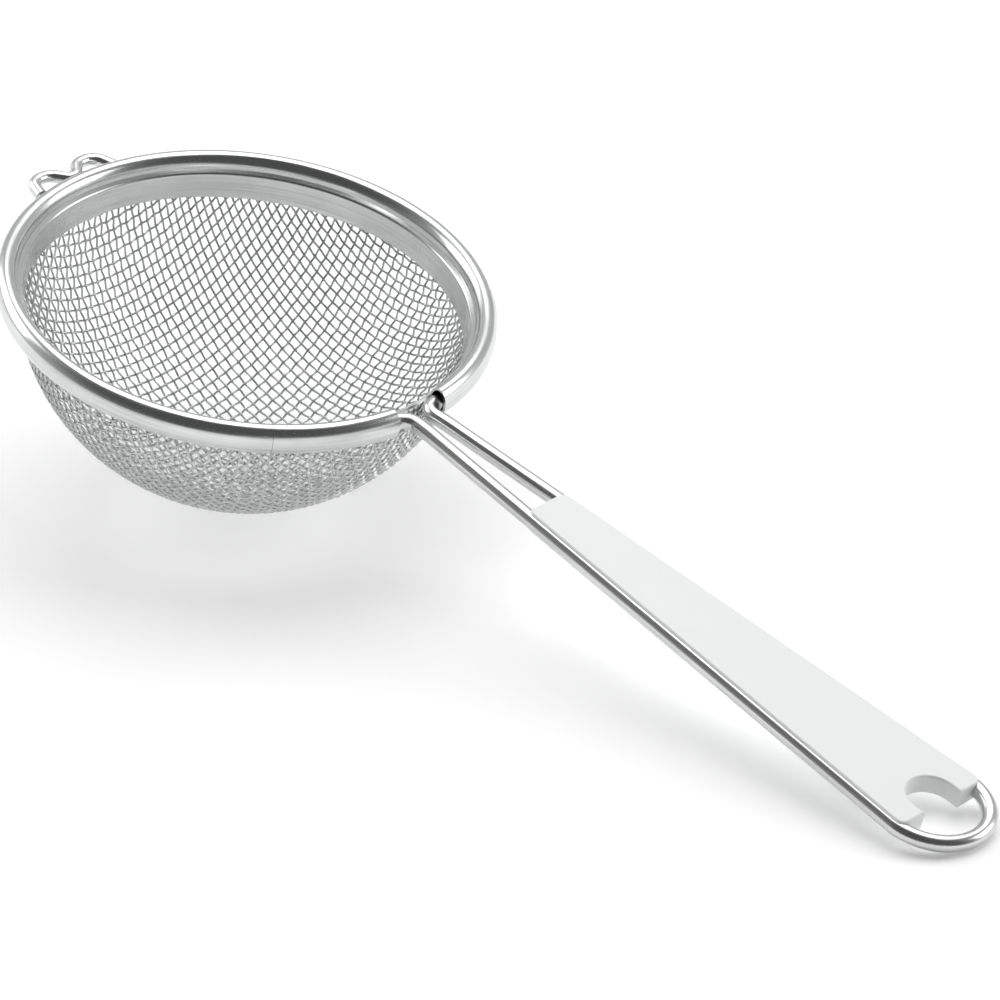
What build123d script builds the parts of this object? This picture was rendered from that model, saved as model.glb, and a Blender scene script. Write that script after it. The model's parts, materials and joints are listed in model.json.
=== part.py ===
from build123d import *
import os
from math import asin, cos, degrees, hypot, radians, sin, tan

# Tea strainer: a round woven bowl in a rolled steel rim, carried by one bent wire that is both
# the hoop inside the rim and the long handle, with a moulded grip between the handle's legs and
# a small double-eared rest wire opposite. It stands as it does on a table: on the bottom of the
# bowl and on the end of the handle. Lengths are millimetres, angles are degrees.

os.makedirs("parts", exist_ok=True)

# Rim: a strip rolled into an oval bead, with a skirt that reaches down inside the mesh
rim_radius = 40.0
strip_thickness = 0.4
bead_half_width = 1.8
bead_half_height = 2.5
neck_radius = 36.75
neck_top_depth = 1.9
neck_foot_depth = 3.1
shoulder_radius = 35.75
shoulder_depth = 2.7
skirt_radius_top = 35.6
skirt_radius_top_back = 35.95
skirt_top_depth = 3.2
skirt_top_depth_back = 3.6
skirt_radius_fold = 35.35
skirt_radius_foot = 35.1
skirt_fold_depth = 5.0
skirt_foot_depth = 6.9

# Bowl of woven wire, half of an ellipsoid below the plane of the rim's top
bowl_radius = 37.0
bowl_depth = 36.0
cloth_thickness = 0.75
cloth_edge_depth = 4.2

# Wire of the hoop and the handle
wire_diameter = 2.6
leg_offset = 1.95
leg_exit_bend = 2.6
hoop_exit_angle = 7.0
loop_centre_x = 147.8
loop_radius = 8.46
handle_droop = 3.13
droop_start_x = 43.0
droop_bend = 14.0

# Slot in the bead that lets the two legs out
slot_half_width = 5.0
slot_floor_radius = 36.85
slot_clearance = 1.0

# Moulded grip
grip_start = 23.5
grip_end = 106.4
grip_half_thickness = 1.7
grip_overlap = 0.5
grip_edge_radius = 0.35
grip_start_radius = 1.4
grip_tip_radius = 1.4
lobe_radius = 3.0
hang_notch_radius = 4.1
hang_notch_floor = 100.3

# Rest wire with two ears
rest_wire_diameter = 2.1
ear_reach = 43.6
ear_inner = 3.0
ear_outer = 6.8
rest_saddle_half = 0.8
rest_foot_half = 8.0
rest_foot_reach = 39.65
ear_bend = 2.6
saddle_bend = 1.6

# Derived sizes
wire_radius = wire_diameter / 2
rest_wire_radius = rest_wire_diameter / 2
bead_centre_radius = rim_radius - bead_half_width
slot_reach = rim_radius + slot_clearance
leg_spread = degrees(
    asin((loop_radius - leg_offset) / hypot(loop_centre_x - rim_radius, loop_radius - leg_offset))
)
loop_end_x = loop_centre_x + loop_radius
loop_end_z = -bead_half_height - (loop_end_x - droop_start_x) * tan(radians(handle_droop))


def bowl_reach(tilt):
    """How far the bowl reaches below the middle of the rim's top when the rim leans by tilt."""
    return hypot(bowl_radius * sin(tilt), bowl_depth * cos(tilt))


# The lean at which the bowl's bottom and the end of the handle touch the same table
lean_steps = 30
lean = 0.0
for _ in range(lean_steps):
    lean = asin((bowl_reach(lean) - wire_radius + loop_end_z * cos(lean)) / loop_end_x)

front_reach = loop_end_x * cos(lean) + loop_end_z * sin(lean) + wire_radius
back_reach = ear_reach * cos(lean) + bead_half_height * sin(lean) + rest_wire_radius
rim_centre = Vector((back_reach - front_reach) / 2, 0, bowl_reach(lean))

# Planes of the rim, of its section through the handle, and of the handle
rim_along = Vector(cos(lean), 0, -sin(lean))
rim_normal = Vector(sin(lean), 0, cos(lean))
rim_plane = Plane(origin=rim_centre, x_dir=rim_along, z_dir=rim_normal)
section_plane = Plane(origin=rim_centre, x_dir=rim_along, z_dir=(0, -1, 0))
rim_axis = Axis(rim_centre, rim_normal)
wire_plane = rim_plane.offset(-bead_half_height)
handle_lean = lean + radians(handle_droop)
handle_plane = Plane(
    origin=wire_plane.from_local_coords((droop_start_x, 0, 0)),
    x_dir=(cos(handle_lean), 0, -sin(handle_lean)),
    z_dir=(sin(handle_lean), 0, cos(handle_lean)),
)
handle_up = Axis(handle_plane.origin, handle_plane.z_dir)
loop_centre_u = (loop_centre_x - droop_start_x) / cos(radians(handle_droop))
notch_centre_u = hang_notch_floor + hang_notch_radius
leg_root = leg_offset + (droop_start_x - rim_radius) * tan(radians(leg_spread))

# The legs are the straight sides that run tangent to the loop from a small circle at the root
root_circle = loop_radius - (loop_radius - leg_root) / cos(radians(leg_spread))
side_angle = asin((loop_radius - root_circle) / loop_centre_u)


def leg_side(u):
    """Distance of a leg's centre line from the handle's middle, at u along the handle."""
    return (root_circle + u * sin(side_angle)) / cos(side_angle)


# Rolled rim with its inner skirt and the slot for the legs
with BuildPart() as rim_band:
    with BuildSketch(section_plane):
        with Locations((bead_centre_radius, -bead_half_height)):
            Ellipse(bead_half_width, bead_half_height)
            Ellipse(
                bead_half_width - strip_thickness,
                bead_half_height - strip_thickness,
                mode=Mode.SUBTRACT,
            )
        with BuildLine():
            Polyline(
                (neck_radius, -neck_top_depth),
                (shoulder_radius, -shoulder_depth),
                (skirt_radius_top, -skirt_top_depth),
                (skirt_radius_fold, -skirt_fold_depth),
                (skirt_radius_foot, -skirt_foot_depth),
                (skirt_radius_foot + strip_thickness, -skirt_foot_depth),
                (skirt_radius_fold + strip_thickness, -skirt_fold_depth),
                (skirt_radius_top_back, -skirt_top_depth_back),
                (neck_radius, -neck_foot_depth),
                close=True,
            )
        make_face()
    revolve(axis=rim_axis)
    with BuildSketch(rim_plane.offset(slot_clearance)):
        with Locations(((slot_floor_radius + slot_reach) / 2, 0)):
            Rectangle(slot_reach - slot_floor_radius, 2 * slot_half_width)
    extrude(amount=-2 * (bead_half_height + slot_clearance), mode=Mode.SUBTRACT)

# Bowl of wire cloth, as one shell of the cloth's own thickness
with BuildPart() as mesh_bowl:
    with BuildSketch(section_plane):
        Ellipse(bowl_radius, bowl_depth)
        Ellipse(bowl_radius - cloth_thickness, bowl_depth - cloth_thickness, mode=Mode.SUBTRACT)
        with Locations((bowl_radius / 2, -(cloth_edge_depth + bowl_depth) / 2)):
            Rectangle(bowl_radius, bowl_depth - cloth_edge_depth, mode=Mode.INTERSECT)
    revolve(axis=rim_axis)

# One wire: hoop in the rim, two legs and the hanging loop, made as a half and its mirror
exit_point = Vector(
    bead_centre_radius * cos(radians(hoop_exit_angle)),
    bead_centre_radius * sin(radians(hoop_exit_angle)),
    0,
)
exit_run = (exit_point.Y - leg_offset) / cos(radians(hoop_exit_angle))
corner_x = exit_point.X + exit_run * sin(radians(hoop_exit_angle))
corner_y = leg_root - (droop_start_x - corner_x) * tan(side_angle)
tangent_u = loop_centre_u - loop_radius * sin(side_angle)
tangent_v = loop_radius * cos(side_angle)
leg_tangent = handle_plane.from_local_coords((tangent_u, tangent_v, 0))
leg_direction = leg_tangent - handle_plane.from_local_coords((0, leg_side(0), 0))

with BuildPart() as handle_wire:
    with BuildLine() as half_wire:
        with BuildLine(wire_plane):
            CenterArc((0, 0), bead_centre_radius, hoop_exit_angle, 180 - hoop_exit_angle)
        FilletPolyline(
            wire_plane.from_local_coords(exit_point),
            wire_plane.from_local_coords((corner_x, corner_y, 0)),
            handle_plane.from_local_coords((0, leg_side(0), 0)),
            leg_tangent,
            radius=[leg_exit_bend, droop_bend],
        )
        TangentArc(
            leg_tangent,
            handle_plane.from_local_coords((loop_centre_u + loop_radius, 0, 0)),
            tangent=leg_direction,
        )
    with BuildSketch(Plane(origin=half_wire.line @ 0, z_dir=half_wire.line % 0)):
        Circle(wire_radius)
    sweep(path=half_wire.line)
    mirror(about=Plane.XZ)

# Moulded grip that fills the space between the legs and laps over them, above and below
with BuildPart() as handle_grip:
    with BuildSketch(handle_plane):
        Circle(root_circle + grip_overlap)
        with Locations((loop_centre_u, 0)):
            Circle(loop_radius + grip_overlap)
        make_hull()
        with Locations(((grip_start + grip_end) / 2, 0)):
            Rectangle(grip_end - grip_start, 4 * loop_radius, mode=Mode.INTERSECT)
        with Locations((notch_centre_u, 0)):
            Circle(hang_notch_radius, mode=Mode.SUBTRACT)
        with Locations((notch_centre_u + loop_radius / 2, 0)):
            Rectangle(loop_radius, 2 * hang_notch_radius, mode=Mode.SUBTRACT)
        fillet(vertices().group_by(Axis.X)[0], grip_start_radius)
        lobe_corners = vertices().group_by(Axis.X)[-1].sort_by(Axis.Y)
        fillet([lobe_corners[0], lobe_corners[-1]], grip_tip_radius)
        fillet([lobe_corners[1], lobe_corners[-2]], lobe_radius)
    extrude(amount=grip_half_thickness, both=True)
    fillet(faces().sort_by(handle_up)[-1].edges(), grip_edge_radius)
    fillet(faces().sort_by(handle_up)[0].edges(), grip_edge_radius)
    add(handle_wire.part, mode=Mode.SUBTRACT)

# Rest wire with two ears, on the rim's outside opposite the handle
with BuildPart() as rest_wire:
    with BuildLine(wire_plane) as ear_path:
        FilletPolyline(
            (-rest_foot_reach, -rest_foot_half),
            (-ear_reach, -ear_outer),
            (-ear_reach, -ear_inner),
            (-rim_radius - rest_wire_radius, -rest_saddle_half),
            (-rim_radius - rest_wire_radius, rest_saddle_half),
            (-ear_reach, ear_inner),
            (-ear_reach, ear_outer),
            (-rest_foot_reach, rest_foot_half),
            radius=[ear_bend, ear_bend, saddle_bend, saddle_bend, ear_bend, ear_bend],
        )
    with BuildSketch(Plane(origin=ear_path.line @ 0, z_dir=ear_path.line % 0)):
        Circle(rest_wire_radius)
    sweep(path=ear_path.line)

pieces = {
    "rim_band": rim_band,
    "mesh_bowl": mesh_bowl,
    "handle_wire": handle_wire,
    "handle_grip": handle_grip,
    "rest_wire": rest_wire,
}
for name, piece in pieces.items():
    piece.part.label = name
    export_step(piece.part, f"parts/{name}.step")

print(f"lean {degrees(lean):.2f}")
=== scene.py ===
import json
import logging
import math
from dataclasses import dataclass
from enum import Enum
from typing import Callable, Optional, Sequence, Union

import bmesh
import bpy
from mathutils import Matrix, Vector


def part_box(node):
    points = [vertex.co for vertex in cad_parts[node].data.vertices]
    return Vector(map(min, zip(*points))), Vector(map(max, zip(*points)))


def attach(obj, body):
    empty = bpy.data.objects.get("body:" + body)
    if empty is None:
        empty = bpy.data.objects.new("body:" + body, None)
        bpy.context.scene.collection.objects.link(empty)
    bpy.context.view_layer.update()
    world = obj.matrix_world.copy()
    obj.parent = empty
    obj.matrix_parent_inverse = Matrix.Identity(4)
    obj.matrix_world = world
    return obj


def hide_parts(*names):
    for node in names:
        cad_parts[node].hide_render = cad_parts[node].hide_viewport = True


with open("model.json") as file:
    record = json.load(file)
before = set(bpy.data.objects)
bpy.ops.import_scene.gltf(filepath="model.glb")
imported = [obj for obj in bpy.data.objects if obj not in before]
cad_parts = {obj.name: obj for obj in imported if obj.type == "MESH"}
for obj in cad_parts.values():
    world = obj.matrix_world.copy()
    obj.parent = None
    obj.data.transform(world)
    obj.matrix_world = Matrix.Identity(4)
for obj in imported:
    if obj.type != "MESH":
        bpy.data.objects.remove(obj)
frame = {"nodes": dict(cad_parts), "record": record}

# Tea strainer. The bowl's wires, the rolled rim, the handle's wire and the rest wire are made here
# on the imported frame. The moulded grip keeps its own shape. Lengths are metres.

LOG = logging.getLogger("tea_strainer")
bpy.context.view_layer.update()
MM = 0.001
CAMERA_AIM = (53.24 * MM, 5.4 * MM, -12.29 * MM)
LAY = "lay"

Ring = list[Vector]
Value = Union["Flow", float, int, tuple, bpy.types.Material]


# ---------------------------------------------------------------- node maths


class Flow:
    """One output of a node, which takes part in arithmetic like a number."""

    def __init__(self, tree: bpy.types.NodeTree, socket: Optional[bpy.types.NodeSocket] = None) -> None:
        """Wraps a socket, or only the tree when the first node is still to be made."""
        self.tree = tree
        self.socket = socket

    def node(
        self,
        kind: str,
        settings: Optional[dict] = None,
        inputs: Optional[dict] = None,
        output: Union[int, str] = 0,
    ) -> "Flow":
        """Adds any node to the tree.

        Args:
            kind: The node's type.
            settings: Its properties, set before its sockets. A ramp's "stops" are (place, grey) pairs.
            inputs: Values or links of its sockets, by name or number.
            output: The output to go on with, by name or number.

        Returns:
            The chosen output.
        """
        made = self.tree.nodes.new(kind)
        for key, value in (settings or {}).items():
            if key != "stops":
                setattr(made, key, value)
                continue
            ramp = made.color_ramp.elements
            while len(ramp) < len(value):
                ramp.new(1.0)
            for element, (place, grey) in zip(ramp, value):
                element.position = place
                element.color = (grey, grey, grey, 1.0)
        for key, value in (inputs or {}).items():
            if isinstance(value, Flow):
                self.tree.links.new(value.socket, made.inputs[key])
            else:
                made.inputs[key].default_value = value
        return Flow(self.tree, made.outputs[output])

    def math(self, operation: str, *values: Value) -> "Flow":
        """A Math node on the given values."""
        return self.node("ShaderNodeMath", {"operation": operation}, dict(enumerate(values)))

    def vector(self, operation: str, inputs: dict) -> "Flow":
        """A Vector Math node on the given sockets."""
        return self.node("ShaderNodeVectorMath", {"operation": operation}, inputs)

    def __add__(self, other: Value) -> "Flow":
        """self + other."""
        return self.math("ADD", self, other)

    def __radd__(self, other: Value) -> "Flow":
        """other + self."""
        return self.math("ADD", other, self)

    def __sub__(self, other: Value) -> "Flow":
        """self - other."""
        return self.math("SUBTRACT", self, other)

    def __rsub__(self, other: Value) -> "Flow":
        """other - self."""
        return self.math("SUBTRACT", other, self)

    def __mul__(self, other: Value) -> "Flow":
        """self * other."""
        return self.math("MULTIPLY", self, other)

    def __rmul__(self, other: Value) -> "Flow":
        """other * self."""
        return self.math("MULTIPLY", other, self)

    def __truediv__(self, other: Value) -> "Flow":
        """self / other."""
        return self.math("DIVIDE", self, other)

    def __rtruediv__(self, other: Value) -> "Flow":
        """other / self."""
        return self.math("DIVIDE", other, self)

    def __neg__(self) -> "Flow":
        """-self."""
        return self.math("MULTIPLY", self, -1.0)


# ---------------------------------------------------------------- finishes


class Pattern(Enum):
    """What a finish's lines follow."""

    PIECE = "the piece's own length, from its lay attribute"
    SPACE = "the object's axes"


def new_material(name: str) -> tuple[bpy.types.Material, Flow, bpy.types.ShaderNodeBsdfPrincipled]:
    """A material with only its shader and output.

    Args:
        name: The material's name.

    Returns:
        The material, a Flow to add nodes with, and the shader.
    """
    material = bpy.data.materials.new(name)
    material.use_nodes = True
    shader = material.node_tree.nodes["Principled BSDF"]
    return material, Flow(material.node_tree), shader


def join(flow: Flow, shader: bpy.types.Node, sockets: dict) -> None:
    """Sets or links a shader's sockets by name."""
    for name, value in sockets.items():
        if isinstance(value, Flow):
            flow.tree.links.new(value.socket, shader.inputs[name])
        else:
            shader.inputs[name].default_value = value


@dataclass(frozen=True)
class SteelFinish:
    """Bright steel with fine lines along its length and soft handling marks."""

    name: str
    pattern: Pattern
    colour: tuple[float, float, float]
    dull_colour: tuple[float, float, float]
    roughness: float
    roughness_range: float
    line_length: float
    line_width: float
    line_depth: float
    mark_size: float = 9 * MM

    def material(self) -> bpy.types.Material:
        """Builds the material."""
        material, flow, shader = new_material(self.name)
        if self.pattern is Pattern.PIECE:
            place = flow.node("ShaderNodeAttribute", {"attribute_name": LAY}, output="Vector")
            stretch = (1 / self.line_length, 1 / self.line_width, 1 / self.line_width)
        else:
            place = flow.node("ShaderNodeTexCoord", output="Object")
            stretch = (1 / self.line_length,) * 3
        drawn = place.vector("MULTIPLY", {0: place, 1: stretch})
        lines = flow.node("ShaderNodeTexNoise", None, {"Vector": drawn, "Scale": 1.0, "Detail": 3.0})
        marks_place = flow.node("ShaderNodeTexCoord", output="Object")
        marks = flow.node(
            "ShaderNodeTexNoise", None, {"Vector": marks_place, "Scale": 1 / self.mark_size, "Detail": 4.0}
        )
        wear = lines * 0.6 + marks * 0.4
        contrast = flow.node(
            "ShaderNodeMapRange", None, {"Value": wear, "From Min": 0.35, "From Max": 0.65}, output="Result"
        )
        tint = flow.node(
            "ShaderNodeMix",
            {"data_type": "RGBA"},
            {0: contrast, 6: (*self.colour, 1.0), 7: (*self.dull_colour, 1.0)},
            output=2,
        )
        bump = flow.node(
            "ShaderNodeBump", None, {"Strength": 0.35, "Distance": self.line_depth, "Height": lines}
        )
        sockets = {
            "Base Color": tint,
            "Metallic": 1.0,
            "Roughness": contrast * self.roughness_range + self.roughness,
            "Normal": bump,
        }
        join(flow, shader, sockets)
        return material


@dataclass(frozen=True)
class PlasticFinish:
    """White moulded plastic with a soft sheen and a faint fine grain."""

    name: str
    colour: tuple[float, float, float]
    shade_colour: tuple[float, float, float]
    roughness: float = 0.34
    grain_size: float = 0.35 * MM
    cloud_size: float = 14 * MM

    def material(self) -> bpy.types.Material:
        """Builds the material."""
        material, flow, shader = new_material(self.name)
        place = flow.node("ShaderNodeTexCoord", output="Object")
        grain = flow.node(
            "ShaderNodeTexNoise", None, {"Vector": place, "Scale": 1 / self.grain_size, "Detail": 2.0}
        )
        cloud = flow.node(
            "ShaderNodeTexNoise", None, {"Vector": place, "Scale": 1 / self.cloud_size, "Detail": 3.0}
        )
        tint = flow.node(
            "ShaderNodeMix",
            {"data_type": "RGBA"},
            {0: cloud, 6: (*self.colour, 1.0), 7: (*self.shade_colour, 1.0)},
            output=2,
        )
        bump = flow.node("ShaderNodeBump", None, {"Strength": 0.12, "Distance": 0.02 * MM, "Height": grain})
        sockets = {
            "Base Color": tint,
            "Roughness": cloud * 0.1 + self.roughness,
            "Normal": bump,
            "Subsurface Weight": 0.12,
            "Subsurface Radius": (0.004, 0.004, 0.004),
            "Specular IOR Level": 0.45,
        }
        join(flow, shader, sockets)
        return material


RIM_STEEL = SteelFinish(
    "rolled_rim_steel",
    Pattern.PIECE,
    colour=(0.74, 0.75, 0.75),
    dull_colour=(0.58, 0.59, 0.59),
    roughness=0.13,
    roughness_range=0.16,
    line_length=26 * MM,
    line_width=0.35 * MM,
    line_depth=0.02 * MM,
)
HANDLE_STEEL = SteelFinish(
    "drawn_handle_steel",
    Pattern.PIECE,
    colour=(0.74, 0.745, 0.74),
    dull_colour=(0.57, 0.575, 0.57),
    roughness=0.15,
    roughness_range=0.16,
    line_length=18 * MM,
    line_width=0.3 * MM,
    line_depth=0.015 * MM,
)
CLOTH_STEEL = SteelFinish(
    "woven_cloth_steel",
    Pattern.SPACE,
    colour=(0.66, 0.67, 0.67),
    dull_colour=(0.5, 0.51, 0.51),
    roughness=0.24,
    roughness_range=0.14,
    line_length=1.1 * MM,
    line_width=1.1 * MM,
    line_depth=0.01 * MM,
)
GRIP_WHITE = PlasticFinish("moulded_white", colour=(0.92, 0.935, 0.93), shade_colour=(0.9, 0.915, 0.91))


# ---------------------------------------------------------------- mesh building


@dataclass(frozen=True)
class Datum:
    """A plane of the part: an origin, the direction along it and its upward normal."""

    origin: Vector
    along: Vector
    up: Vector

    def at(self, x: float, y: float, z: float = 0.0) -> Vector:
        """The point at x along the plane, y across it and z above it."""
        return self.origin + self.along * x + Vector((0.0, y, 0.0)) + self.up * z


class Skin:
    """Collects the rings of one piece, and makes its mesh."""

    def __init__(self) -> None:
        """Starts empty."""
        self.points: list[Vector] = []
        self.faces: list[tuple[int, ...]] = []
        self.lay: list[Vector] = []

    def loft(self, rings: Sequence[Ring], lay: Sequence[Ring], looped: bool = False) -> None:
        """Skins a run of rings.

        Args:
            rings: Rings of equally many points.
            lay: For each point, its distance along the piece and its two places in the section.
            looped: Joins the last ring to the first, where otherwise both ends get a cap.
        """
        start, sides = len(self.points), len(rings[0])
        for ring, marks in zip(rings, lay):
            self.points.extend(ring)
            self.lay.extend(marks)
        steps = len(rings) if looped else len(rings) - 1
        for step in range(steps):
            low = start + step * sides
            high = start + (step + 1) % len(rings) * sides
            for side in range(sides):
                turn = (side + 1) % sides
                self.faces.append((low + side, low + turn, high + turn, high + side))
        if not looped:
            last = start + (len(rings) - 1) * sides
            self.faces.append(tuple(range(start, start + sides)))
            self.faces.append(tuple(range(last, last + sides)))

    def piece(self, name: str, material: bpy.types.Material, sharp: float = 40.0) -> bpy.types.Object:
        """Makes the piece, shaded smooth but for edges sharper than the given angle in degrees."""
        mesh = bpy.data.meshes.new(name)
        mesh.from_pydata(self.points, [], self.faces)
        marks = mesh.attributes.new(LAY, "FLOAT_VECTOR", "POINT")
        marks.data.foreach_set("vector", [number for mark in self.lay for number in mark])
        shell = bmesh.new()
        shell.from_mesh(mesh)
        bmesh.ops.recalc_face_normals(shell, faces=shell.faces)
        shell.to_mesh(mesh)
        shell.free()
        mesh.shade_smooth()
        mesh.set_sharp_from_angle(angle=math.radians(sharp))
        mesh.materials.append(material)
        made = bpy.data.objects.new(name, mesh)
        bpy.context.scene.collection.objects.link(made)
        return made


def rounded_path(corners: Sequence[Vector], radii: Sequence[float], turn_step: float = 6.0) -> list[Vector]:
    """Straight runs joined by tangent arcs.

    Args:
        corners: The path's two ends and its corners.
        radii: The radius at each corner.
        turn_step: Degrees of turn from one point of an arc to the next.

    Returns:
        Points along the path.
    """
    path = [corners[0]]
    for before, corner, after, radius in zip(corners, corners[1:], corners[2:], radii):
        arrive, leave = (corner - before).normalized(), (after - corner).normalized()
        turn = arrive.angle(leave)
        reach = radius * math.tan(turn / 2)
        inward = (leave - arrive).normalized()
        centre = corner + inward * (radius / math.cos(turn / 2))
        spoke = corner - arrive * reach - centre
        axis = arrive.cross(leave)
        steps = max(2, math.ceil(math.degrees(turn) / turn_step))
        for step in range(steps + 1):
            path.append(centre + Matrix.Rotation(turn * step / steps, 3, axis) @ spoke)
    path.append(corners[-1])
    return path


def evened(path: Sequence[Vector], longest: float) -> list[Vector]:
    """The same path with points added, so that no run is longer than the given length."""
    points = [path[0]]
    for start, end in zip(path, path[1:]):
        parts = max(1, math.ceil((end - start).length / longest))
        points.extend(start.lerp(end, part / parts) for part in range(1, parts + 1))
    return points


def wire_rings(path: Sequence[Vector], radius: float, sides: int, up: Vector) -> tuple[list[Ring], list[Ring]]:
    """Round sections along a path that stays near one plane.

    Args:
        path: The wire's centre line.
        radius: Half the wire's diameter.
        sides: Points in a section.
        up: The plane's normal.

    Returns:
        The rings and their lay marks.
    """
    rings, lay, run = [], [], 0.0
    angles = [math.tau * side / sides for side in range(sides)]
    for index, point in enumerate(path):
        ahead = path[min(index + 1, len(path) - 1)]
        behind = path[max(index - 1, 0)]
        tangent = (ahead - behind).normalized()
        across = up.cross(tangent).normalized()
        rise = tangent.cross(across)
        if index:
            run += (point - path[index - 1]).length
        rings.append([point + (across * math.cos(a) + rise * math.sin(a)) * radius for a in angles])
        lay.append([Vector((run, math.cos(a) * radius, math.sin(a) * radius)) for a in angles])
    return rings, lay


def ride(piece: bpy.types.Object, slot: str, *nodes: str) -> None:
    """Rides a piece on the object's one body, and hides the nodes it stands for."""
    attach(piece, "root")
    if nodes:
        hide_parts(*nodes)
    LOG.info("%s: %d faces", piece.name, len(piece.data.polygons))


# ---------------------------------------------------------------- woven bowl


class Run(Enum):
    """Which way a family of the bowl's wires runs."""

    ALONG = "along the handle"
    ACROSS = "across the handle"


@dataclass
class WovenBowl:
    """Plain-woven wire cloth, pressed to a bowl."""

    rim: Datum
    wire_diameter: float = 0.38 * MM
    dome_radius: float = 36.62 * MM
    dome_depth: float = 35.62 * MM
    edge_depth: float = 4.2 * MM
    pitch_along: float = 1.82 * MM
    pitch_across: float = 1.43 * MM
    shear: float = 0.6
    turn: float = -1.0
    wander: float = 0.15 * MM
    wander_size: float = 12 * MM
    seed: int = 7
    points_per_crossing: int = 4
    sides: int = 7

    INPUTS = {
        "Wires": "NodeSocketInt",
        "Points": "NodeSocketInt",
        "Pitch": "NodeSocketFloat",
        "Cross Pitch": "NodeSocketFloat",
        "Step": "NodeSocketFloat",
        "Across": "NodeSocketFloat",
        "Wave Height": "NodeSocketFloat",
        "Wire Radius": "NodeSocketFloat",
        "Sides": "NodeSocketInt",
        "Dome Radius": "NodeSocketFloat",
        "Dome Depth": "NodeSocketFloat",
        "Edge Depth": "NodeSocketFloat",
        "Shear": "NodeSocketFloat",
        "Turn": "NodeSocketFloat",
        "Wander": "NodeSocketFloat",
        "Wander Size": "NodeSocketFloat",
        "Seed": "NodeSocketFloat",
        "Centre": "NodeSocketVector",
        "Along": "NodeSocketVector",
        "Up": "NodeSocketVector",
        "Steel": "NodeSocketMaterial",
    }

    def tree(self) -> bpy.types.NodeTree:
        """The node tree that lays one family of parallel wires over the dome."""
        tree = bpy.data.node_groups.new("woven_wires", "GeometryNodeTree")
        for name, kind in self.INPUTS.items():
            tree.interface.new_socket(name, in_out="INPUT", socket_type=kind)
        tree.interface.new_socket("Geometry", in_out="OUTPUT", socket_type="NodeSocketGeometry")
        entry = tree.nodes.new("NodeGroupInput")
        take = {name: Flow(tree, entry.outputs[name]) for name in self.INPUTS}
        flow = Flow(tree)

        straight = flow.node("GeometryNodeCurvePrimitiveLine")
        sampled = flow.node("GeometryNodeResampleCurve", None, {"Curve": straight, "Count": take["Points"]})
        rows = flow.node("GeometryNodeMeshLine", None, {"Count": take["Wires"]})
        copies = flow.node("GeometryNodeInstanceOnPoints", None, {"Points": rows, "Instance": sampled})
        wires = flow.node("GeometryNodeRealizeInstances", None, {"Geometry": copies})

        flat_run, flat_side, wave = self.flat_place(flow, take)
        dome_place = self.dome_place(flow, take, flat_run, flat_side, wave)
        pressed = flow.node("GeometryNodeSetPosition", None, {"Geometry": wires, "Position": dome_place})
        here = flow.node("GeometryNodeInputPosition")
        height = here.node("ShaderNodeSeparateXYZ", None, {0: here}, output="Z")
        above = height.math("GREATER_THAN", height, -take["Edge Depth"])
        trimmed = flow.node(
            "GeometryNodeDeleteGeometry", {"domain": "POINT"}, {"Geometry": pressed, "Selection": above}
        )
        placed = flow.node(
            "GeometryNodeSetPosition", None, {"Geometry": trimmed, "Position": self.part_place(flow, take)}
        )
        section = flow.node(
            "GeometryNodeCurvePrimitiveCircle",
            None,
            {"Resolution": take["Sides"], "Radius": take["Wire Radius"]},
        )
        round_wires = flow.node(
            "GeometryNodeCurveToMesh", None, {"Curve": placed, "Profile Curve": section, "Fill Caps": True}
        )
        smooth = flow.node("GeometryNodeSetShadeSmooth", None, {"Geometry": round_wires})
        real = flow.node("GeometryNodeRealizeInstances", None, {"Geometry": smooth})
        dressed = flow.node("GeometryNodeSetMaterial", None, {"Geometry": real, "Material": take["Steel"]})
        leave = tree.nodes.new("NodeGroupOutput")
        tree.links.new(dressed.socket, leave.inputs["Geometry"])
        return tree

    @staticmethod
    def flat_place(flow: Flow, take: dict[str, Flow]) -> tuple[Flow, Flow, Flow]:
        """Where a wire's point lies in the cloth before it is pressed.

        Args:
            flow: The tree to add to.
            take: The tree's inputs.

        Returns:
            The place along the handle, the place across it, and the weave's rise.
        """
        index = flow.node("GeometryNodeInputIndex")
        row = index.math("FLOOR", (index + 0.5) / take["Points"])
        wire = row - (take["Wires"] - 1) * 0.5
        length = (index - row * take["Points"] - (take["Points"] - 1) * 0.5) * take["Step"]
        offset = wire * take["Pitch"]
        run = length + take["Across"] * (offset - length)
        side = offset + take["Across"] * (length - offset)
        bend = wave_of(length / take["Cross Pitch"]) * wave_of(wire) * take["Wave Height"]
        place = flow.node("ShaderNodeCombineXYZ", None, {0: run, 1: side})
        scaled = place.vector("SCALE", {0: place, 3: 1.0 / take["Wander Size"]})
        noise = flow.node(
            "ShaderNodeTexNoise",
            {"noise_dimensions": "4D"},
            {"Vector": scaled, "W": take["Seed"], "Scale": 1.0, "Detail": 2.0},
            output="Color",
        )
        drift_run = noise.node("ShaderNodeSeparateXYZ", None, {0: noise}, output="X") - 0.5
        drift_side = noise.node("ShaderNodeSeparateXYZ", None, {0: noise}, output="Y") - 0.5
        return run + drift_run * take["Wander"], side + drift_side * take["Wander"], bend

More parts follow.
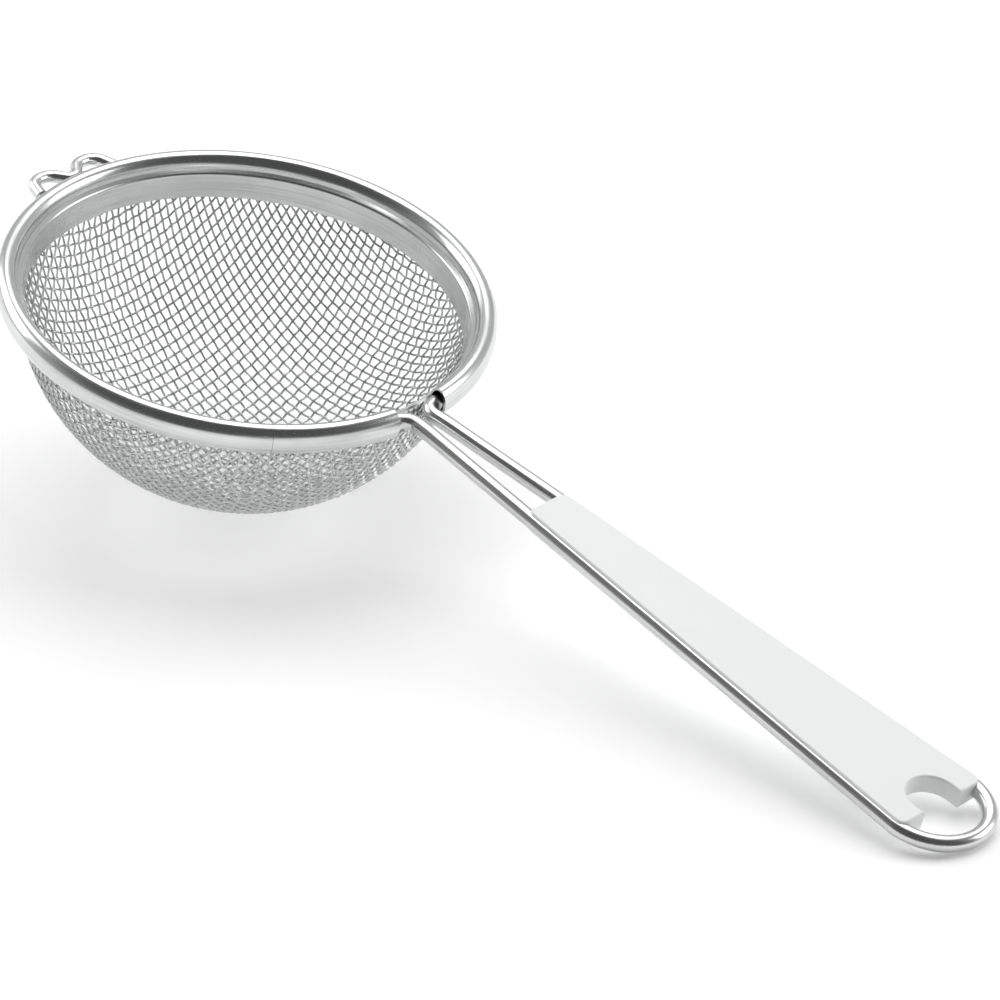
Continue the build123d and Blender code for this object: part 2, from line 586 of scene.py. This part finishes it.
    @staticmethod
    def dome_place(flow: Flow, take: dict[str, Flow], run: Flow, side: Flow, wave: Flow) -> Flow:
        """Where pressing carries a point of the flat cloth, measured from the rim's centre.

        Args:
            flow: The tree to add to.
            take: The tree's inputs.
            run: Place along the handle in the flat cloth.
            side: Place across the handle in the flat cloth.
            wave: The weave's rise out of the cloth.

        Returns:
            The point's place.
        """
        reach = (take["Dome Radius"] + take["Dome Depth"]) * 0.5
        u, v = run / reach, side / reach
        slack = take["Shear"] / 6.0
        a = u * (slack * v * v + 1.0)
        b = v * (slack * u * u + 1.0)
        turn_cos, turn_sin = flow.math("COSINE", take["Turn"]), flow.math("SINE", take["Turn"])
        x_share = a * turn_cos - b * turn_sin
        y_share = a * turn_sin + b * turn_cos
        polar = flow.math("SQRT", x_share * x_share + y_share * y_share + 1e-12)
        ring = flow.math("SINE", polar) / polar
        x = x_share * ring * take["Dome Radius"]
        y = y_share * ring * take["Dome Radius"]
        z = -(flow.math("COSINE", polar) * take["Dome Depth"])
        width_square = take["Dome Radius"] * take["Dome Radius"]
        depth_square = take["Dome Depth"] * take["Dome Depth"]
        outward = flow.node(
            "ShaderNodeCombineXYZ", None, {0: x / width_square, 1: y / width_square, 2: z / depth_square}
        )
        normal = outward.vector("NORMALIZE", {0: outward})
        rise = normal.vector("SCALE", {0: normal, 3: wave})
        middle = flow.node("ShaderNodeCombineXYZ", None, {0: x, 1: y, 2: z})
        return middle.vector("ADD", {0: middle, 1: rise})

    @staticmethod
    def part_place(flow: Flow, take: dict[str, Flow]) -> Flow:
        """Carries a place measured from the rim's centre into the part's frame."""
        here = flow.node("GeometryNodeInputPosition")
        x = here.node("ShaderNodeSeparateXYZ", None, {0: here}, output="X")
        y = here.node("ShaderNodeSeparateXYZ", None, {0: here}, output="Y")
        z = here.node("ShaderNodeSeparateXYZ", None, {0: here}, output="Z")
        along = flow.vector("SCALE", {0: take["Along"], 3: x})
        upward = flow.vector("SCALE", {0: take["Up"], 3: z})
        sideways = flow.node("ShaderNodeCombineXYZ", None, {1: y})
        level = flow.vector("ADD", {0: along, 1: upward})
        shifted = flow.vector("ADD", {0: level, 1: sideways})
        return flow.vector("ADD", {0: shifted, 1: take["Centre"]})

    def family(self, tree: bpy.types.NodeTree, run: Run, name: str, steel: bpy.types.Material) -> bpy.types.Object:
        """One family of wires as a plain mesh.

        Args:
            tree: The node tree that lays the wires.
            run: Which way the wires run.
            name: The piece's name.
            steel: The wires' material.

        Returns:
            The piece.
        """
        across = run is Run.ACROSS
        pitch = self.pitch_along if across else self.pitch_across
        cross = self.pitch_across if across else self.pitch_along
        arc = math.acos(self.edge_depth / self.dome_depth) * (self.dome_radius + self.dome_depth) / 2
        step = cross / self.points_per_crossing
        values = {
            "Wires": 2 * math.floor(arc / pitch) + 1,
            "Points": 2 * math.ceil(arc / step) + 1,
            "Pitch": pitch,
            "Cross Pitch": cross,
            "Step": step,
            "Across": float(across),
            "Wave Height": self.wire_diameter / 2 * (-1 if across else 1),
            "Wire Radius": self.wire_diameter / 2,
            "Sides": self.sides,
            "Dome Radius": self.dome_radius,
            "Dome Depth": self.dome_depth,
            "Edge Depth": self.edge_depth,
            "Shear": self.shear,
            "Turn": math.radians(self.turn),
            "Wander": self.wander,
            "Wander Size": self.wander_size,
            "Seed": float(self.seed),
            "Centre": tuple(self.rim.origin),
            "Along": tuple(self.rim.along),
            "Up": tuple(self.rim.up),
            "Steel": steel,
        }
        made = bpy.data.objects.new(name, bpy.data.meshes.new(name))
        bpy.context.scene.collection.objects.link(made)
        weave = made.modifiers.new("weave", "NODES")
        weave.node_group = tree
        for item in tree.interface.items_tree:
            if item.in_out == "INPUT":
                weave[item.identifier] = values[item.name]
        evaluated = made.evaluated_get(bpy.context.evaluated_depsgraph_get())
        made.data = bpy.data.meshes.new_from_object(evaluated)
        made.data.name = name
        made.modifiers.remove(weave)
        return made

    def build(self) -> None:
        """Builds the wires that run along the handle and those that cross them."""
        steel = CLOTH_STEEL.material()
        tree = self.tree()
        ride(self.family(tree, Run.ALONG, "cloth_wires_along", steel), "mesh_steel", "mesh_bowl")
        ride(self.family(tree, Run.ACROSS, "cloth_wires_across", steel), "mesh_steel", "mesh_bowl")


def wave_of(turns: Flow) -> Flow:
    """1 at even whole numbers and -1 at odd ones, with a smooth wave between."""
    return turns.math("COSINE", turns * math.pi)


# ---------------------------------------------------------------- rim


@dataclass
class RolledRim:
    """A steel strip rolled to an oval bead outside and folded to a skirt inside."""

    rim: Datum
    radius: float = 40 * MM
    bead_half_width: float = 1.8 * MM
    bead_half_height: float = 2.5 * MM
    strip: float = 0.4 * MM
    slot_half_width: float = 5 * MM
    seam_azimuth: float = -38.0
    seam_gap: float = 0.06 * MM
    section_points: int = 48
    turn_steps: int = 300

    @property
    def bead_radius(self) -> float:
        """Radius of the bead's centre line."""
        return self.radius - self.bead_half_width

    def ring_at(self, section: Sequence[tuple[float, float]], azimuth: Callable[[float], float]) -> tuple[Ring, Ring]:
        """A section of the strip, stood up at an azimuth.

        Args:
            section: Radius and height of each point of the section.
            azimuth: The azimuth in radians, for a point's radius.

        Returns:
            The section's points and their lay marks.
        """
        ring, lay = [], []
        for r, z in section:
            angle = azimuth(r)
            ring.append(self.rim.at(r * math.cos(angle), r * math.sin(angle), z))
            lay.append(Vector((angle * self.radius, r, z)))
        return ring, lay

    def oval(self, inset: float) -> list[tuple[float, float]]:
        """The bead's oval section, inset by a thickness."""
        points = []
        for step in range(self.section_points):
            angle = math.tau * step / self.section_points
            r = self.bead_radius + (self.bead_half_width - inset) * math.cos(angle)
            z = -self.bead_half_height + (self.bead_half_height - inset) * math.sin(angle)
            points.append((r, z))
        return points

    def skirt(self) -> list[tuple[float, float]]:
        """The skirt's section, a bent strip from the bead down inside the cloth."""
        corners = [(36.72, -2.3), (35.82, -2.86), (35.56, -5.0), (35.3, -6.9)]
        bends = [0.35 * MM, 1.2 * MM]
        middle = rounded_path([Vector((r * MM, 0.0, z * MM)) for r, z in corners], bends, 12.0)
        outer, inner = [], []
        for index, point in enumerate(middle):
            ahead = middle[min(index + 1, len(middle) - 1)]
            behind = middle[max(index - 1, 0)]
            tangent = (ahead - behind).normalized()
            side = Vector((tangent.z, 0.0, -tangent.x)) * self.strip / 2
            outer.append(point + side)
            inner.append(point - side)
        return [(point.x, point.z) for point in outer + inner[::-1]]

    def build(self) -> None:
        """Builds the strip, with its butt seam and the slot for the handle's legs."""
        skin = Skin()
        seam = math.radians(self.seam_azimuth) % math.tau
        half_gap = self.seam_gap / 2 / self.radius
        slot = lambda r: math.asin(self.slot_half_width / r)
        spans = [(slot, lambda r: seam - half_gap), (lambda r: seam + half_gap, lambda r: math.tau - slot(r))]
        for start, end in spans:
            share = (end(self.radius) - start(self.radius)) / math.tau
            steps = max(8, round(self.turn_steps * share))
            stations = [
                lambda r, t=step / steps, s=start, e=end: s(r) + (e(r) - s(r)) * t for step in range(steps + 1)
            ]
            outer = [self.ring_at(self.oval(0.0), station) for station in stations]
            inner = [self.ring_at(self.oval(self.strip), station) for station in stations]
            wall = outer + inner[::-1]
            skin.loft([ring for ring, _ in wall], [lay for _, lay in wall], looped=True)
        sweep = math.tau - 2 * half_gap
        skirt = [
            self.ring_at(self.skirt(), lambda r, t=step / self.turn_steps: seam + half_gap + sweep * t)
            for step in range(self.turn_steps + 1)
        ]
        skin.loft([ring for ring, _ in skirt], [lay for _, lay in skirt])
        ride(skin.piece("rolled_rim", RIM_STEEL.material()), "rim_steel", "rim_band")


# ---------------------------------------------------------------- handle and rest wire


@dataclass
class HandleWire:
    """One wire: the hoop in the rim, the two legs and the hanging loop."""

    rim: Datum
    handle: Datum
    diameter: float = 2.6 * MM
    hoop_radius: float = 38.2 * MM
    hoop_depth: float = 2.5 * MM
    exit_azimuth: float = 7.0
    leg_offset: float = 1.95 * MM
    exit_bend: float = 2.6 * MM
    droop_bend: float = 14 * MM
    leg_start: float = 2.13 * MM
    loop_centre: float = 104.957 * MM
    loop_radius: float = 8.46 * MM
    sides: int = 28

    def half_path(self, side: int) -> list[Vector]:
        """One half of the wire, from opposite the handle to the loop's tip.

        Args:
            side: 1 for the half on the +Y side, -1 for its mirror.

        Returns:
            Points of the centre line.
        """
        exit_angle = math.radians(self.exit_azimuth)
        hoop = []
        steps = 120
        for step in range(steps + 1):
            angle = math.pi + (exit_angle - math.pi) * step / steps
            x, y = self.hoop_radius * math.cos(angle), self.hoop_radius * math.sin(angle)
            hoop.append(self.rim.at(x, side * y, -self.hoop_depth))
        slope = math.asin((self.loop_radius - self.leg_start) / self.loop_centre)
        run = (self.hoop_radius * math.sin(exit_angle) - self.leg_offset) / math.cos(exit_angle)
        corner_x = self.hoop_radius * math.cos(exit_angle) + run * math.sin(exit_angle)
        drop = (self.handle.origin - self.rim.origin).dot(self.rim.along) - corner_x
        corner = self.rim.at(corner_x, side * (self.leg_start - drop * math.tan(slope)), -self.hoop_depth)
        touch_x = self.loop_centre - self.loop_radius * math.sin(slope)
        touch = self.handle.at(touch_x, side * self.loop_radius * math.cos(slope))
        droop = self.handle.at(0.0, side * self.leg_start)
        legs = rounded_path([hoop[-1], corner, droop, touch], [self.exit_bend, self.droop_bend])
        loop = []
        arc_steps = 22
        for step in range(1, arc_steps + 1):
            angle = (math.pi / 2 + slope) * (1 - step / arc_steps)
            x = self.loop_centre + self.loop_radius * math.cos(angle)
            loop.append(self.handle.at(x, side * self.loop_radius * math.sin(angle)))
        return hoop + evened(legs, 3 * MM)[1:] + loop

    def build(self) -> None:
        """Builds the whole wire as one closed ring."""
        near, far = self.half_path(-1), self.half_path(1)
        path = near + far[::-1][1:]
        rings, lay = wire_rings(path, self.diameter / 2, self.sides, self.rim.up)
        skin = Skin()
        skin.loft(rings, lay)
        ride(skin.piece("bent_handle_wire", HANDLE_STEEL.material()), "wire_steel", "handle_wire")


@dataclass
class RestWire:
    """The thin wire with two ears that rests on a cup's lip."""

    rim: Datum
    diameter: float = 2.1 * MM
    depth: float = 2.5 * MM
    rim_radius: float = 40 * MM
    ear_reach: float = 43.6 * MM
    ear_inner: float = 3 * MM
    ear_outer: float = 6.8 * MM
    saddle_half: float = 0.8 * MM
    foot_half: float = 8 * MM
    foot_reach: float = 39.65 * MM
    ear_bend: float = 2.6 * MM
    saddle_bend: float = 1.6 * MM
    sides: int = 24

    def path(self) -> list[Vector]:
        """The wire's centre line, from foot to foot."""
        saddle = self.rim_radius + self.diameter / 2
        half = [
            (self.foot_reach, self.foot_half),
            (self.ear_reach, self.ear_outer),
            (self.ear_reach, self.ear_inner),
            (saddle, self.saddle_half),
        ]
        corners = [self.rim.at(-x, -y, -self.depth) for x, y in half]
        corners += [self.rim.at(-x, y, -self.depth) for x, y in reversed(half)]
        bends = [self.ear_bend, self.ear_bend, self.saddle_bend]
        return rounded_path(corners, bends + bends[::-1], 9.0)

    def build(self) -> None:
        """Builds the wire."""
        rings, lay = wire_rings(evened(self.path(), 1 * MM), self.diameter / 2, self.sides, self.rim.up)
        skin = Skin()
        skin.loft(rings, lay)
        ride(skin.piece("eared_rest_wire", HANDLE_STEEL.material()), "wire_steel", "rest_wire")


# ---------------------------------------------------------------- studio


@dataclass
class Softbox:
    """A square studio light."""

    name: str
    place: tuple[float, float, float]
    size: float
    power: float


@dataclass
class Studio:
    """A pale floor, soft lights, and the camera."""

    aim: Vector
    distance: float = 0.9788
    azimuth: float = 43.39
    elevation: float = 28.96
    roll: float = 1.17
    focal_length: float = 226.8
    sensor: float = 36.0
    floor_half: float = 3.0
    floor_glow: float = 0.2
    room_dark: float = 0.09
    room_pale: float = 0.56

    LIGHTS = (
        Softbox("overhead", (-0.25, 0.35, 1.05), 1.1, 8.9),
        Softbox("left", (-1.15, -0.25, 0.55), 0.8, 4.2),
        Softbox("right", (0.75, 0.95, 0.5), 0.7, 4.0),
    )

    @property
    def back(self) -> Vector:
        """The direction from the strainer back to the camera."""
        bearing, rise = math.radians(self.azimuth), math.radians(self.elevation)
        return Vector((math.sin(bearing) * math.cos(rise), -math.cos(bearing) * math.cos(rise), math.sin(rise)))

    def floor(self) -> None:
        """Lays the floor that the strainer stands on."""
        material, flow, shader = new_material("pale_floor")
        place = flow.node("ShaderNodeTexCoord", output="Object")
        cloud = flow.node("ShaderNodeTexNoise", None, {"Vector": place, "Scale": 2.0})
        join(flow, shader, {"Base Color": (0.93, 0.93, 0.93, 1.0), "Roughness": cloud * 0.1 + 0.8})
        join(flow, shader, {"Emission Color": (1.0, 1.0, 1.0, 1.0), "Emission Strength": self.floor_glow})
        half = self.floor_half
        corners = [(-half, -half, 0.0), (half, -half, 0.0), (half, half, 0.0), (-half, half, 0.0)]
        mesh = bpy.data.meshes.new("floor")
        mesh.from_pydata(corners, [], [(0, 1, 2, 3)])
        mesh.materials.append(material)
        made = bpy.data.objects.new("floor", mesh)
        bpy.context.scene.collection.objects.link(made)

    def lights(self) -> None:
        """Hangs the soft lights and lights the room, dark on the camera's side and pale behind."""
        for box in self.LIGHTS:
            lamp = bpy.data.lights.new(box.name, "AREA")
            lamp.shape = "SQUARE"
            lamp.size = box.size
            lamp.energy = box.power
            made = bpy.data.objects.new(box.name, lamp)
            made.location = box.place
            made.rotation_mode = "QUATERNION"
            made.rotation_quaternion = (self.aim - made.location).to_track_quat("-Z", "Y")
            bpy.context.scene.collection.objects.link(made)
        world = bpy.data.worlds.new("room")
        world.use_nodes = True
        tree = world.node_tree
        look = tree.nodes.new("ShaderNodeTexCoord")
        side = tree.nodes.new("ShaderNodeVectorMath")
        side.operation = "DOT_PRODUCT"
        side.inputs[1].default_value = self.back
        shade = tree.nodes.new("ShaderNodeMapRange")
        shade.interpolation_type = "SMOOTHSTEP"
        limits = {"From Min": -0.2, "From Max": 0.75, "To Min": self.room_pale, "To Max": self.room_dark}
        for name, value in limits.items():
            shade.inputs[name].default_value = value
        tree.links.new(look.outputs["Generated"], side.inputs[0])
        tree.links.new(side.outputs["Value"], shade.inputs["Value"])
        tree.links.new(shade.outputs["Result"], tree.nodes["Background"].inputs["Color"])
        bpy.context.scene.world = world

    def camera(self) -> None:
        """Stands the camera at its bearing, turned by its roll."""
        data = bpy.data.cameras.new("camera")
        data.sensor_width = self.sensor
        data.lens = self.focal_length
        made = bpy.data.objects.new("camera", data)
        made.location = self.aim + self.back * self.distance
        made.rotation_mode = "QUATERNION"
        look = (-self.back).to_track_quat("-Z", "Y")
        made.rotation_quaternion = look @ Matrix.Rotation(math.radians(self.roll), 3, "Z").to_quaternion()
        bpy.context.scene.collection.objects.link(made)
        bpy.context.scene.camera = made

    def build(self) -> None:
        """Sets up the whole studio."""
        self.floor()
        self.lights()
        self.camera()
        bpy.context.scene.view_settings.view_transform = "Standard"


# ---------------------------------------------------------------- assembly


def mount_axis(name: str) -> Vector:
    """The axis of one of the record's mounts."""
    for mount in frame["record"]["mounts"]:
        if mount["name"] == name:
            return Vector(mount["axis"]).normalized()
    raise KeyError(name)


def rim_datum(radius: float = 38.2 * MM, half_width: float = 1.8 * MM, half_height: float = 2.5 * MM) -> Datum:
    """The plane of the rim's top, from the rim's box and the direction of the rest on the cup.

    Args:
        radius: Radius of the bead's centre line.
        half_width: Half the bead's width.
        half_height: Half the bead's height.

    Returns:
        The datum at the rim's centre.
    """
    up = -mount_axis("cup_rest")
    along = Vector((up.z, 0.0, -up.x))
    low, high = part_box("rim_band")
    reach = math.hypot(half_width * along.x, half_height * up.x)
    rise = math.hypot(half_width * along.z, half_height * up.z)
    bead_x = low.x + radius * along.x + reach
    bead_z = high.z + radius * along.z - rise
    return Datum(Vector((bead_x, 0.0, bead_z)) + up * half_height, along, up)


def handle_datum(rim: Datum, start: float = 43 * MM, depth: float = 2.5 * MM) -> Datum:
    """The plane of the handle's two legs, from where the handle starts to droop."""
    up = mount_axis("hanging_loop")
    return Datum(rim.at(start, 0.0, -depth), Vector((up.z, 0.0, -up.x)), up)


def dress_grip() -> None:
    """Gives the moulded grip its plastic."""
    grip = frame["nodes"]["handle_grip"]
    plastic = GRIP_WHITE.material()
    for slot in grip.material_slots:
        slot.material = plastic
    LOG.info("handle_grip: %d faces", len(grip.data.polygons))


def main() -> None:
    """Builds the strainer's pieces in order, then the studio."""
    logging.basicConfig(level=logging.INFO, format="%(name)s %(message)s")
    rim = rim_datum()
    handle = handle_datum(rim)
    WovenBowl(rim).build()
    RolledRim(rim).build()
    HandleWire(rim, handle).build()
    RestWire(rim).build()
    dress_grip()
    Studio(rim.at(*CAMERA_AIM)).build()
    bpy.context.view_layer.update()


if __name__ == "__main__":
    main()
